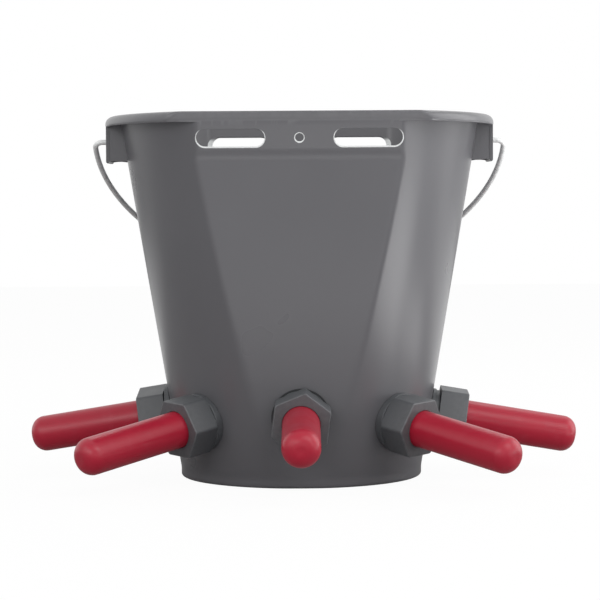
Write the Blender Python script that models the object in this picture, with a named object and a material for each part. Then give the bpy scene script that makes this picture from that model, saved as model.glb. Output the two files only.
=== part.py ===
"""Multi-teat feeding bucket: a moulded bucket with a wire bail and five screwed teat units.

Metres, +Z up. The origin is the middle of the base, on the floor. The flat panel with the hanging slots
faces -Y, and the bail swings about the X axis.
"""

import math

import bmesh
import bpy
from mathutils import Matrix, Vector

MM = 0.001

# Fits and faceting
FIT_GAP = 0.3 * MM            # between two pieces that touch on the real object
THREAD_CLEARANCE = 0.5 * MM   # between a thread and the bore that runs on it
BUCKET_SEGMENTS = 64
UNIT_SEGMENTS = 24
TEAT_SEGMENTS = 20
ARC_STEPS = 3                 # facets in a quarter round

# Bucket: the round wall
HEIGHT = 286 * MM
WALL_BASE_RADIUS = 94.8 * MM  # of the outer wall, carried down to the floor
WALL_TAPER = math.radians(9.54)
WALL = 3 * MM
FOOT_RADIUS = 96 * MM
FOOT_HEIGHT = 10 * MM
FLOOR_THICKNESS = 4 * MM
FLOOR_FILLET = 8 * MM

# Bucket: the underside
BASE_RECESS = 5 * MM
FOOT_WALL = 8 * MM
CENTRE_PAD_RADIUS = 22 * MM
RIB = 2.5 * MM
RIB_COUNT = 8

# Bucket: the flat panels, front and back
PANEL_BASE_DEPTH = 95.3 * MM  # from the axis to the panel, carried down to the floor
PANEL_TAPER = math.radians(3.9)
BAND_HEIGHT = 34 * MM
BAND_STEP = 1 * MM
BAND_STEP_HEIGHT = 2 * MM
BAND_TAPER = math.radians(10.6)

# Bucket: the lip
LIP_OVERHANG = 11.4 * MM
LIP_HEIGHT = 8 * MM
LIP_EDGE_RADIUS = 6 * MM
LIP_SHEET = 3 * MM

# Hanging slots and the small hole between them
SLOT_LENGTH = 51.3 * MM
SLOT_HEIGHT = 14 * MM
SLOT_SPACING = 103.3 * MM     # from the middle of one slot to the middle of the other
SLOT_DROP = 20 * MM           # from the rim to the middle of the slots
CENTRE_HOLE = 7.5 * MM

# Ears that carry the bail
EAR_WIDTH = 40 * MM
EAR_DROP = 36.5 * MM
EAR_PLATE = 2.5 * MM
EAR_SETBACK = 0.3 * MM        # of the ear's outer face behind the lip's
EAR_WEB = 2.5 * MM
EAR_WEB_SPACING = 36 * MM
EAR_WEB_LIFT = 1 * MM         # of the webs' lower edge above the plate's
EAR_OVERLAP = 2 * MM          # of the plate with the lip's skirt

# Bail
BAIL_WIRE = 4.2 * MM
BAIL_PIVOT_DROP = 19.5 * MM   # from the rim to the pivot
BAIL_LIP_CLEARANCE = 5.7 * MM
BAIL_BEND_RADIUS = 6 * MM
BAIL_HOOK_LENGTH = 9 * MM
BAIL_HOOK_BEND = 3 * MM
BAIL_HOOK_INSET = 6 * MM      # from the ear plate's inner face to the hook's middle
BAIL_HOLE_CLEARANCE = 0.7 * MM
BAIL_ARC_STEPS = 30
BAIL_TEST_STEPS = 80          # places along half the bow where its rest is tested
BAIL_WALL_GAP = 0.5 * MM      # left between the resting bail and the back wall

# Teat units, from the left round the front to the right
UNIT_AZIMUTHS = tuple(math.radians(a) for a in (-97, -47.9, 0, 45.8, 90.5))
UNIT_HEIGHT = 49 * MM         # of the hole's middle on the round wall
FRONT_UNIT_HEIGHT = 54.5 * MM
FRONT_UNIT_DROOP = math.radians(2)
NUT_TURNS = tuple(math.radians(a) for a in (43.6, 57.0, 22.4, 3.1, 5.0))
NUT_GAPS = tuple(g * MM for g in (1.0, 1.0, 2.6, 1.2, 3.4))

# Threaded stem
THREAD_RADIUS = 17 * MM
STEM_FLANGE_RADIUS = 23 * MM
STEM_FLANGE = 3 * MM
STEM_BORE_RADIUS = 12.5 * MM
WALL_HOLE_CLEARANCE = 0.6 * MM

# Seals and lock ring
OUTER_SEAL = 1 * MM
OUTER_SEAL_RADIUS = 23.4 * MM
INNER_SEAL_MIN = 0.9 * MM
INNER_SEAL_RADIUS = 22.5 * MM
LOCK_RING = 1.4 * MM
LOCK_RING_RADIUS = 24 * MM
LOCK_RING_CHAMFER = 0.4 * MM

# Collar nut
NUT_ACROSS_FLATS = 42.4 * MM
NUT_LENGTH = 22.3 * MM
NUT_SHOULDER = 4 * MM
NUT_CHAMFER = 0.5 * MM

# Teat
TEAT_RADIUS = 14.25 * MM
TEAT_REACH = 118.5 * MM       # from the bucket wall to the tip
TEAT_WALL = 4 * MM
TEAT_TIP_WALL = 6 * MM
TEAT_FLANGE_RADIUS = 17.1 * MM
TEAT_FLANGE_MIN = 3 * MM
TEAT_NOSE_RADIUS = 11 * MM    # of the rounding at the tip
TEAT_NUT_CLEARANCE = 0.4 * MM

# Non-return valve
BALL_RADIUS = 9 * MM
BALL_TRAVEL = 5 * MM
RIB_CLEARANCE = 0.4 * MM      # from the ball to the guide ribs
STOP_FINGER_RADIUS = 5 * MM
STOP_FINGER = 2 * MM
SEAT = 3 * MM
SEAT_HOLE_RADIUS = 6 * MM
SEAT_CHAMFER = 1 * MM
SEAT_OUTER_RADIUS = 14.5 * MM

# Worked out from the sizes above
RIM_RADIUS = WALL_BASE_RADIUS + HEIGHT * math.tan(WALL_TAPER)
LIP_RADIUS = RIM_RADIUS + LIP_OVERHANG
LIP_BOTTOM = HEIGHT - LIP_HEIGHT
BAND_BOTTOM = HEIGHT - BAND_HEIGHT
FLOOR_TOP = BASE_RECESS + FLOOR_THICKNESS
SLOT_Z = HEIGHT - SLOT_DROP
PIVOT_Z = HEIGHT - BAIL_PIVOT_DROP
EAR_OUTER = LIP_RADIUS - EAR_SETBACK
EAR_INNER = EAR_OUTER - EAR_PLATE
BAIL_RADIUS = LIP_RADIUS + BAIL_LIP_CLEARANCE + BAIL_WIRE / 2
RING_BASE = OUTER_SEAL + FIT_GAP
RING_FACE = RING_BASE + LOCK_RING
STEM_END = RING_FACE + min(NUT_GAPS) + NUT_LENGTH - NUT_SHOULDER - TEAT_FLANGE_MIN - 2 * FIT_GAP
OVERSIZE = 50 * MM            # how far a cutter runs past what it cuts

GREY_SHELL = (0.115, 0.116, 0.125, 1)
GREY_NUT = (0.080, 0.086, 0.094, 1)
BLACK_RUBBER = (0.02, 0.021, 0.023, 1)
RED_RUBBER = (0.42, 0.022, 0.045, 1)
WHITE_PLASTIC = (0.75, 0.75, 0.72, 1)
ZINC = (0.62, 0.63, 0.62, 1)


def wall_radius(z):
    """Outer radius of the round wall at height z."""
    return WALL_BASE_RADIUS + z * math.tan(WALL_TAPER)


def panel_depth(z):
    """Distance from the axis to the main flat panel at height z."""
    return PANEL_BASE_DEPTH + z * math.tan(PANEL_TAPER)


def band_depth(z):
    """Distance from the axis to the hanging band at height z."""
    return panel_depth(BAND_BOTTOM) + BAND_STEP + (z - BAND_BOTTOM) * math.tan(BAND_TAPER)


def sagitta(chord_radius, radius):
    """How far a circle of this radius falls away at chord_radius from the middle of a chord."""
    return radius - math.sqrt(radius ** 2 - chord_radius ** 2)


def clear_scene():
    for obj in list(bpy.data.objects):
        bpy.data.objects.remove(obj, do_unlink=True)


def make_material(name, colour, roughness, metallic=0.0):
    material = bpy.data.materials.new(name)
    material.use_nodes = True
    shader = material.node_tree.nodes["Principled BSDF"]
    shader.inputs["Base Color"].default_value = colour
    shader.inputs["Roughness"].default_value = roughness
    shader.inputs["Metallic"].default_value = metallic
    return material


def add_object(name, data, material=None, parent=None):
    obj = bpy.data.objects.new(name, data)
    bpy.context.scene.collection.objects.link(obj)
    if material:
        data.materials.append(material)
    if parent:
        obj.parent = parent
    return obj


def mesh_from(name, points, faces, smooth=True):
    mesh = bpy.data.meshes.new(name)
    mesh.from_pydata([tuple(p) for p in points], [], faces)
    mesh.validate()
    if smooth:
        mesh.shade_smooth()
        mesh.set_sharp_from_angle(angle=math.radians(30))
    return mesh


def turned(name, profile, segments):
    """Mesh turned about Z from (radius, height) pairs that run anticlockwise round the section.

    A radius may be a list with a value for each segment. A profile that starts and ends at radius 0
    is closed by the axis, and any other is closed on itself.
    """
    on_axis = profile[0][0] == 0
    points = []
    rings = []
    for radius, height in profile:
        ring = []
        for k in range(segments):
            angle = 2 * math.pi * k / segments
            r = radius[k] if isinstance(radius, list) else radius
            point = Vector((r * math.cos(angle), r * math.sin(angle), height))
            above = rings[-1][k] if rings else None
            if r == 0 and k:
                ring.append(ring[0])
            elif above is not None and (points[above] - point).length < MM / 1000:
                ring.append(above)
            else:
                points.append(point)
                ring.append(len(points) - 1)
        rings.append(ring)
    pairs = list(zip(rings, rings[1:]))
    if not on_axis:
        pairs.append((rings[-1], rings[0]))
    faces = []
    for lower, upper in pairs:
        for k in range(segments):
            n = (k + 1) % segments
            corners = list(dict.fromkeys((lower[k], lower[n], upper[n], upper[k])))
            if len(corners) > 2:
                faces.append(corners)
    return mesh_from(name, points, faces)


def arc(centre, radius, start, end, steps):
    """Points round an arc in the plane of the profile, angles in degrees from +X."""
    points = []
    for k in range(steps + 1):
        angle = math.radians(start + (end - start) * k / steps)
        points.append((centre[0] + radius * math.cos(angle), centre[1] + radius * math.sin(angle)))
    return points


def prisms(name, outlines, place, low, high):
    """Mesh of straight prisms: each outline, anticlockwise, is run from low to high by place(u, v, w)."""
    points = []
    faces = []
    for outline in outlines:
        base = len(points)
        count = len(outline)
        points += [place(u, v, low) for u, v in outline]
        points += [place(u, v, high) for u, v in outline]
        faces.append([base + k for k in reversed(range(count))])
        faces.append([base + count + k for k in range(count)])
        for k in range(count):
            n = (k + 1) % count
            faces.append([base + k, base + n, base + count + n, base + count + k])
    return mesh_from(name, points, faces, smooth=False)


def upright(u, v, w):
    return Vector((u, v, w))


def across(u, v, w):
    """Outline in the Y-Z plane, run along +X."""
    return Vector((w, u, v))


def lengthways(u, v, w):
    """Outline in the X-Z plane, run along -Y."""
    return Vector((u, -w, v))


def rectangle(low_u, high_u, low_v, high_v):
    return [(low_u, low_v), (high_u, low_v), (high_u, high_v), (low_u, high_v)]


def make_cutter(name, mesh, parent=None):
    obj = add_object(name, mesh, parent=parent)
    obj.hide_render = True
    obj.display_type = "WIRE"
    return obj


def combine(target, other, operation):
    modifier = target.modifiers.new(other.name, "BOOLEAN")
    modifier.operation = operation
    modifier.solver = "EXACT"
    modifier.object = other
    return modifier


def flat_outline(inset):
    """Section of all that lies in front of a flat face set inset behind the outer one, as (y, z)."""
    top = HEIGHT + OVERSIZE
    far = LIP_RADIUS + OVERSIZE
    step_top = BAND_BOTTOM + BAND_STEP_HEIGHT
    face = [
        (-panel_depth(-OVERSIZE), -OVERSIZE),
        (-panel_depth(BAND_BOTTOM), BAND_BOTTOM),
        (-band_depth(step_top), step_top),
        (-band_depth(top), top),
    ]
    return [(-far, -OVERSIZE)] + [(y + inset, z) for y, z in face] + [(-far, top)]


def cut_flats(target, label, inset):
    """Cuts the front and back flats into a turned solid."""
    half = LIP_RADIUS + OVERSIZE
    front = flat_outline(inset)
    back = [(-y, z) for y, z in reversed(front)]
    for side, outline in (("front", front), ("back", back)):
        cutter = make_cutter(f"{label}_{side}_cut", prisms(side, [outline], across, -half, half))
        combine(target, cutter, "DIFFERENCE")


def outer_profile():
    """Section of the bucket's outside, with its lip, as one solid."""
    edge = LIP_RADIUS - LIP_EDGE_RADIUS
    profile = [(0, 0), (FOOT_RADIUS, 0), (FOOT_RADIUS, FOOT_HEIGHT), (wall_radius(FOOT_HEIGHT), FOOT_HEIGHT)]
    profile += [(wall_radius(LIP_BOTTOM), LIP_BOTTOM), (LIP_RADIUS, LIP_BOTTOM)]
    profile += arc((edge, HEIGHT - LIP_EDGE_RADIUS), LIP_EDGE_RADIUS, 0, 90, ARC_STEPS)
    return profile + [(0, HEIGHT)]


def groove_profile():
    """Section of the hollow under the lip."""
    ceiling = HEIGHT - LIP_SHEET
    inner_edge = max(LIP_EDGE_RADIUS - LIP_SHEET, FIT_GAP)
    outer = LIP_RADIUS - LIP_SHEET
    low = LIP_BOTTOM - LIP_HEIGHT
    profile = [(wall_radius(low) + FIT_GAP, low), (outer, low)]
    profile += arc((outer - inner_edge, ceiling - inner_edge), inner_edge, 0, 90, ARC_STEPS)
    return profile + [(wall_radius(ceiling) + FIT_GAP, ceiling)]


def cavity_solid(name, shrink):
    """Cutter with the shape of the bucket's inside, drawn in by shrink."""
    inset = WALL / math.cos(WALL_TAPER) + shrink
    floor = FLOOR_TOP + shrink
    top = HEIGHT + OVERSIZE
    radius = FLOOR_FILLET
    beside_wall = wall_radius(floor + radius) - inset - radius / math.cos(WALL_TAPER)
    above_foot = FOOT_RADIUS - FOOT_WALL - shrink
    middle = (min(beside_wall, above_foot), floor + radius)
    corner = arc(middle, radius, -90, -math.degrees(WALL_TAPER), ARC_STEPS)
    ledge = max(corner[-1][1], FOOT_HEIGHT + WALL)
    profile = [(0, floor)] + corner + [(wall_radius(ledge) - inset, ledge)]
    profile += [(wall_radius(top) - inset, top), (0, top)]
    solid = make_cutter(name, turned(name, profile, BUCKET_SEGMENTS))
    cut_flats(solid, name, WALL / math.cos(PANEL_TAPER) + shrink)
    return solid


def wall_solid(name, grow):
    """Cutter with the shape of the round and flat outer wall, let out by grow."""
    top = BAND_BOTTOM
    profile = [(0, 0), (wall_radius(0) + grow, 0), (wall_radius(top) + grow, top), (0, top)]
    solid = make_cutter(name, turned(name, profile, BUCKET_SEGMENTS))
    cut_flats(solid, name, -grow)
    return solid


def base_pockets():
    """Outlines of the pockets between the ribs under the floor."""
    outer = FOOT_RADIUS - FOOT_WALL
    pitch = 360 / RIB_COUNT
    outlines = []
    for k in range(RIB_COUNT):
        outer_trim = math.degrees(math.asin(RIB / 2 / outer))
        inner_trim = math.degrees(math.asin(RIB / 2 / CENTRE_PAD_RADIUS))
        start = k * pitch
        end = start + pitch
        outline = arc((0, 0), outer, start + outer_trim, end - outer_trim, ARC_STEPS * 2)
        outline += arc((0, 0), CENTRE_PAD_RADIUS, end - inner_trim, start + inner_trim, ARC_STEPS)
        outlines.append(outline)
    return outlines


def slot_outline(middle):
    end = SLOT_LENGTH / 2 - SLOT_HEIGHT / 2
    right = arc((middle + end, SLOT_Z), SLOT_HEIGHT / 2, -90, 90, ARC_STEPS * 2)
    left = arc((middle - end, SLOT_Z), SLOT_HEIGHT / 2, 90, 270, ARC_STEPS * 2)
    return right + left


def hanging_cutter():
    """Both slots and the small hole, run through the front and back walls."""
    hole = arc((0, SLOT_Z), CENTRE_HOLE / 2, 0, 360, ARC_STEPS * 4)[:-1]
    outlines = [slot_outline(-SLOT_SPACING / 2), slot_outline(SLOT_SPACING / 2), hole]
    half = LIP_RADIUS + OVERSIZE
    return make_cutter("hanging_cut", prisms("hanging_cut", outlines, lengthways, -half, half))


def ear_plate_mesh(name, side):
    """Curved plate of one ear, hung from the lip."""
    half_angle = math.asin(EAR_WIDTH / 2 / EAR_OUTER)
    low = HEIGHT - EAR_DROP
    high = LIP_BOTTOM + EAR_OVERLAP
    steps = 2 * ARC_STEPS
    middle = 0 if side > 0 else 180
    start = middle - math.degrees(half_angle)
    end = middle + math.degrees(half_angle)
    outline = arc((0, 0), EAR_OUTER, start, end, steps) + arc((0, 0), EAR_INNER, end, start, steps)
    return prisms(name, [outline], upright, low, high)


def ear_web_mesh(name, side):
    """The two webs that join an ear's plate to the wall."""
    low = HEIGHT - EAR_DROP + EAR_WEB_LIFT
    high = HEIGHT - LIP_SHEET * 2 / 3
    inner = wall_radius(low) - WALL / 2
    ends = sorted((side * inner, side * EAR_INNER))
    outlines = []
    for sign in (-1, 1):
        middle = sign * EAR_WEB_SPACING / 2
        outlines.append(rectangle(ends[0], ends[1], middle - EAR_WEB / 2, middle + EAR_WEB / 2))
    return prisms(name, outlines, upright, low, high)


def pivot_hole_mesh(name, side):
    radius = BAIL_WIRE / 2 + BAIL_HOLE_CLEARANCE
    outline = arc((0, PIVOT_Z), radius, 0, 360, ARC_STEPS * 4)[:-1]
    ends = sorted((side * (EAR_INNER - BAIL_HOOK_INSET / 2), side * (EAR_OUTER + BAIL_HOOK_INSET)))
    return prisms(name, [outline], across, ends[0], ends[1])


def make_shell(material, units):
    shell = add_object("bucket_shell", turned("bucket_shell", outer_profile(), BUCKET_SEGMENTS), material)
    groove = make_cutter("lip_groove", turned("lip_groove", groove_profile(), BUCKET_SEGMENTS))
    cut_flats(groove, "lip_groove", LIP_SHEET)
    combine(shell, groove, "DIFFERENCE")
    steps = ((ear_plate_mesh, "UNION"), (ear_web_mesh, "UNION"), (pivot_hole_mesh, "DIFFERENCE"))
    for label, side in (("left", -1), ("right", 1)):
        for make_mesh, operation in steps:
            name = f"{label}_{make_mesh.__name__.removesuffix('_mesh')}"
            combine(shell, make_cutter(name, make_mesh(name, side)), operation)
    cut_flats(shell, "shell", 0)
    pockets = prisms("base_pockets", base_pockets(), upright, -OVERSIZE, BASE_RECESS)
    combine(shell, make_cutter("base_pockets", pockets), "DIFFERENCE")
    combine(shell, hanging_cutter(), "DIFFERENCE")
    for unit in units:
        radius = THREAD_RADIUS + WALL_HOLE_CLEARANCE
        depth = unit["flange_face"] - STEM_FLANGE
        profile = [(0, depth), (radius, depth), (radius, RING_FACE), (0, RING_FACE)]
        name = f"wall_hole_{unit['number']}"
        combine(shell, make_cutter(name, turned(name, profile, UNIT_SEGMENTS), unit["empty"]), "DIFFERENCE")
    combine(shell, cavity_solid("cavity", 0), "DIFFERENCE")
    return shell


def bail_path():
    """Middle line of the bail as (x, s), where s runs from the pivot axis out to the bow."""
    hook_x = EAR_INNER - BAIL_HOOK_INSET
    bend = BAIL_BEND_RADIUS
    hook_bend = BAIL_HOOK_BEND
    first = math.asin(bend / (BAIL_RADIUS - bend))
    bend_x = (BAIL_RADIUS - bend) * math.cos(first)
    half = [(hook_x, -BAIL_HOOK_LENGTH)]
    half += arc((hook_x + hook_bend, -hook_bend), hook_bend, 180, 90, ARC_STEPS)
    half += arc((bend_x, bend), bend, -90, math.degrees(first), ARC_STEPS + 1)
    start = math.degrees(first)
    bow = arc((0, 0), BAIL_RADIUS, start, 180 - start, BAIL_ARC_STEPS)
    other = [(-x, s) for x, s in reversed(half)]
    return half + bow[1:-1] + other


def bail_touches(angle):
    """Whether the bow, dropped by angle below level, comes nearer the back wall than its gap."""
    room = (BAIL_WIRE / 2 + BAIL_WALL_GAP) / math.cos(WALL_TAPER)
    chord_radius = BAIL_RADIUS * math.cos(math.pi / 2 / BAIL_ARC_STEPS)
    for x, s in arc((0, 0), chord_radius, 10, 90, BAIL_TEST_STEPS):
        y = s * math.cos(angle)
        z = PIVOT_Z - s * math.sin(angle)
        inside_round = math.hypot(x, y) < wall_radius(z) + room
        inside_flat = y < panel_depth(z) + room
        if inside_round and inside_flat:
            return True
    return False


def bail_rest_angle():
    """Steepest drop below level that leaves the bow clear of the back wall."""
    step = math.radians(0.1)
    angle = 0.0
    while angle < math.radians(85) and not bail_touches(angle + step):
        angle += step
    return angle


def make_bail(material):
    pivot = add_object("bail_pivot", None)
    pivot.location = (0, 0, PIVOT_Z)
    pivot.rotation_euler = (-bail_rest_angle(), 0, 0)
    curve = bpy.data.curves.new("bail_wire", "CURVE")
    curve.dimensions = "3D"
    curve.bevel_depth = BAIL_WIRE / 2
    curve.bevel_resolution = 2
    curve.use_fill_caps = True
    path = bail_path()
    spline = curve.splines.new("POLY")
    spline.points.add(len(path) - 1)
    for point, (x, s) in zip(spline.points, path):
        point.co = (x, s, 0, 1)
    return add_object("bail_wire", curve, material, pivot)


def unit_frame(azimuth, height, on_panel):
    """Frame of a teat unit: origin on the outer wall, Z along the teat, X level."""
    reach = panel_depth(height) if on_panel else wall_radius(height)
    tilt = PANEL_TAPER + FRONT_UNIT_DROOP if on_panel else WALL_TAPER
    outward = Vector((math.sin(azimuth), -math.cos(azimuth), 0))
    level = Vector((math.cos(azimuth), math.sin(azimuth), 0))
    axis = outward * math.cos(tilt) + Vector((0, 0, -math.sin(tilt)))
    rotation = Matrix((level, axis.cross(level), axis)).transposed()
    return Matrix.Translation(outward * reach + Vector((0, 0, height))) @ rotation.to_4x4()


def make_unit(number, azimuth, nut_turn, nut_gap):
    """Empty of one teat unit, with the distances along its axis that its pieces share."""
    on_panel = panel_depth(FRONT_UNIT_HEIGHT) < wall_radius(FRONT_UNIT_HEIGHT) * math.cos(azimuth)
    height = FRONT_UNIT_HEIGHT if on_panel else UNIT_HEIGHT
    empty = add_object(f"unit_{number}", None)
    empty.matrix_world = unit_frame(azimuth, height, on_panel)
    if on_panel:
        fall = STEM_FLANGE_RADIUS * math.tan(FRONT_UNIT_DROOP)
    else:
        fall = sagitta(STEM_FLANGE_RADIUS, wall_radius(height) - WALL)
    return {
        "number": number,
        "empty": empty,
        "nut_turn": nut_turn,
        "nut_base": RING_FACE + nut_gap,
        "flange_face": -(WALL + fall + INNER_SEAL_MIN),
    }


def guide_radii(rib_radius, open_radius):
    """Radii round the bore with four ribs standing in to rib_radius."""
    spacing = UNIT_SEGMENTS // 4
    return [rib_radius if k % spacing == 0 else open_radius for k in range(UNIT_SEGMENTS)]


def seat_face(unit):
    """Distance along the axis of the seat ring's outward face."""
    return unit["flange_face"] - STEM_FLANGE + SEAT


def ball_rest(unit):
    """Distance along the axis of the resting ball's middle."""
    to_seat = math.sqrt(BALL_RADIUS ** 2 - (SEAT_HOLE_RADIUS + SEAT_CHAMFER) ** 2)
    return seat_face(unit) + to_seat + FIT_GAP + BALL_TRAVEL


def make_stem(unit, material):
    inner_end = unit["flange_face"] - STEM_FLANGE
    counterbore = seat_face(unit) + FIT_GAP
    finger_low = ball_rest(unit) + math.sqrt(BALL_RADIUS ** 2 - STOP_FINGER_RADIUS ** 2) + FIT_GAP
    finger_high = finger_low + STOP_FINGER
    ribs = guide_radii(BALL_RADIUS + RIB_CLEARANCE, STEM_BORE_RADIUS)
    fingers = guide_radii(STOP_FINGER_RADIUS, STEM_BORE_RADIUS)
    profile = [
        (STEM_FLANGE_RADIUS, inner_end),
        (STEM_FLANGE_RADIUS, unit["flange_face"]),
        (THREAD_RADIUS, unit["flange_face"]),
        (THREAD_RADIUS, STEM_END),
        (STEM_BORE_RADIUS, STEM_END),
        (STEM_BORE_RADIUS, finger_high),
        (fingers, finger_high),
        (fingers, finger_low),
        (ribs, finger_low),
        (ribs, counterbore),
        (SEAT_OUTER_RADIUS, counterbore),
        (SEAT_OUTER_RADIUS, inner_end),
    ]
    name = f"valve_stem_{unit['number']}"
    return add_object(name, turned(name, profile, UNIT_SEGMENTS), material, unit["empty"])


def make_seat(unit, material):
    low = unit["flange_face"] - STEM_FLANGE
    high = seat_face(unit)
    outer = SEAT_OUTER_RADIUS - FIT_GAP
    profile = [
        (SEAT_HOLE_RADIUS, low),
        (outer, low),
        (outer, high),
        (SEAT_HOLE_RADIUS + SEAT_CHAMFER, high),
        (SEAT_HOLE_RADIUS, high - SEAT_CHAMFER),
    ]
    name = f"seat_ring_{unit['number']}"
    return add_object(name, turned(name, profile, TEAT_SEGMENTS), material, unit["empty"])


def make_ball(unit, material):
    name = f"valve_ball_{unit['number']}"
    mesh = bpy.data.meshes.new(name)
    ball = bmesh.new()
    bmesh.ops.create_uvsphere(ball, u_segments=12, v_segments=8, radius=BALL_RADIUS)
    ball.to_mesh(mesh)
    ball.free()
    mesh.shade_smooth()
    obj = add_object(name, mesh, material, unit["empty"])
    obj.location = (0, 0, ball_rest(unit))
    return obj


def make_outer_seal(unit, material, outer_wall):
    bore = THREAD_RADIUS + THREAD_CLEARANCE
    low = -sagitta(OUTER_SEAL_RADIUS, wall_radius(0)) - WALL
    profile = [(bore, low), (OUTER_SEAL_RADIUS, low), (OUTER_SEAL_RADIUS, OUTER_SEAL), (bore, OUTER_SEAL)]
    name = f"outer_seal_{unit['number']}"
    seal = add_object(name, turned(name, profile, UNIT_SEGMENTS), material, unit["empty"])
    combine(seal, outer_wall, "DIFFERENCE")
    return seal


def make_inner_seal(unit, material, inside):
    bore = THREAD_RADIUS + THREAD_CLEARANCE
    low = unit["flange_face"] + FIT_GAP
    profile = [(bore, low), (INNER_SEAL_RADIUS, low), (INNER_SEAL_RADIUS, 0), (bore, 0)]
    name = f"inner_seal_{unit['number']}"
    seal = add_object(name, turned(name, profile, UNIT_SEGMENTS), material, unit["empty"])
    combine(seal, inside, "INTERSECT")
    return seal


def make_lock_ring(unit, material):
    bore = THREAD_RADIUS + THREAD_CLEARANCE
    profile = [
        (bore, RING_BASE),
        (LOCK_RING_RADIUS, RING_BASE),
        (LOCK_RING_RADIUS, RING_FACE - LOCK_RING_CHAMFER),
        (LOCK_RING_RADIUS - LOCK_RING_CHAMFER, RING_FACE),
        (bore, RING_FACE),
    ]
    name = f"lock_ring_{unit['number']}"
    return add_object(name, turned(name, profile, UNIT_SEGMENTS), material, unit["empty"])


def hexagon_radii(across_flats):
    """Radii of a hexagon's outline at each segment, with a corner at segment 0."""
    radii = []
    for k in range(UNIT_SEGMENTS):
        from_flat = (2 * math.pi * k / UNIT_SEGMENTS) % (math.pi / 3) - math.pi / 6
        radii.append(across_flats / 2 / math.cos(from_flat))
    return radii


def make_nut(unit, material):
    base = unit["nut_base"]
    face = base + NUT_LENGTH
    shoulder = face - NUT_SHOULDER
    bore = THREAD_RADIUS + THREAD_CLEARANCE
    hole = TEAT_RADIUS + TEAT_NUT_CLEARANCE
    body = hexagon_radii(NUT_ACROSS_FLATS)
    bevel = hexagon_radii(NUT_ACROSS_FLATS - 2 * NUT_CHAMFER)
    profile = [
        (bore, base),
        (body, base),
        (body, face - NUT_CHAMFER),
        (bevel, face),
        (hole, face),
        (hole, shoulder),
        (bore, shoulder),
    ]
    name = f"collar_nut_{unit['number']}"
    nut = add_object(name, turned(name, profile, UNIT_SEGMENTS), material, unit["empty"])
    nut.rotation_euler = (0, 0, unit["nut_turn"])
    return nut


def make_teat(unit, material):
    """Hollow teat: its root flange is held between the stem's end and the nut's shoulder."""
    root = STEM_END + FIT_GAP
    shoulder = unit["nut_base"] + NUT_LENGTH - NUT_SHOULDER - FIT_GAP
    nose = TEAT_NOSE_RADIUS
    inner = TEAT_RADIUS - TEAT_WALL
    inner_nose = min(nose - TEAT_WALL, inner - FIT_GAP)
    inner_tip = TEAT_REACH - TEAT_TIP_WALL
    outside = arc((TEAT_RADIUS - nose, TEAT_REACH - nose), nose, 0, 90, ARC_STEPS + 1)
    inside = arc((inner - inner_nose, inner_tip - inner_nose), inner_nose, 90, 0, ARC_STEPS)
    profile = [(TEAT_FLANGE_RADIUS, root), (TEAT_FLANGE_RADIUS, shoulder), (TEAT_RADIUS, shoulder)]
    profile += outside + [(0, TEAT_REACH), (0, inner_tip)] + inside + [(inner, root)]
    name = f"teat_{unit['number']}"
    mesh = turned(name, profile, TEAT_SEGMENTS)
    return add_object(name, mesh, material, unit["empty"])


def main():
    clear_scene()
    shell_grey = make_material("moulded grey plastic", GREY_SHELL, 0.42)
    nut_grey = make_material("dark grey nut plastic", GREY_NUT, 0.5)
    seal_black = make_material("black seal rubber", BLACK_RUBBER, 0.7)
    teat_red = make_material("red teat rubber", RED_RUBBER, 0.4)
    ball_white = make_material("white ball plastic", WHITE_PLASTIC, 0.3)
    zinc = make_material("galvanised wire", ZINC, 0.35, 1.0)

    units = []
    for k, azimuth in enumerate(UNIT_AZIMUTHS):
        units.append(make_unit(k + 1, azimuth, NUT_TURNS[k], NUT_GAPS[k]))
    make_shell(shell_grey, units)
    make_bail(zinc)
    outer_wall = wall_solid("outer_wall", FIT_GAP)
    inside = cavity_solid("inside", FIT_GAP)
    for unit in units:
        make_outer_seal(unit, seal_black, outer_wall)
        make_inner_seal(unit, seal_black, inside)
        make_stem(unit, nut_grey)
        make_seat(unit, nut_grey)
        make_ball(unit, ball_white)
        make_lock_ring(unit, nut_grey)
        make_nut(unit, nut_grey)
        make_teat(unit, teat_red)


main()
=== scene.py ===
"""Looks of the multi-teat feeding bucket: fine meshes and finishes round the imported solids."""

import math

import bmesh
import bpy
import numpy as np
from mathutils import Matrix, Vector


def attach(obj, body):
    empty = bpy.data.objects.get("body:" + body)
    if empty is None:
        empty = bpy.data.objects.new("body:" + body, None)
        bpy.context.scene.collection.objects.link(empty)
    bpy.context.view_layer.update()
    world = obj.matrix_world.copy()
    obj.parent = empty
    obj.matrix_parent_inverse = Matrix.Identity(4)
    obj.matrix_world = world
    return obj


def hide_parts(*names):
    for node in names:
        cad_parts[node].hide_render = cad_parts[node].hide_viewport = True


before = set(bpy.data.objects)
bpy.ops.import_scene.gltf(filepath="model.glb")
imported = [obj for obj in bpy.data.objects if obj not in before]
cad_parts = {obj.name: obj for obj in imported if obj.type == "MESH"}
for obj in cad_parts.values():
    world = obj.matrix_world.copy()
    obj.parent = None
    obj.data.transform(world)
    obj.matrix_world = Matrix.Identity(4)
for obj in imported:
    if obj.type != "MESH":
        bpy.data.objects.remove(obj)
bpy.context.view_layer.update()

MM = 0.001

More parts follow.
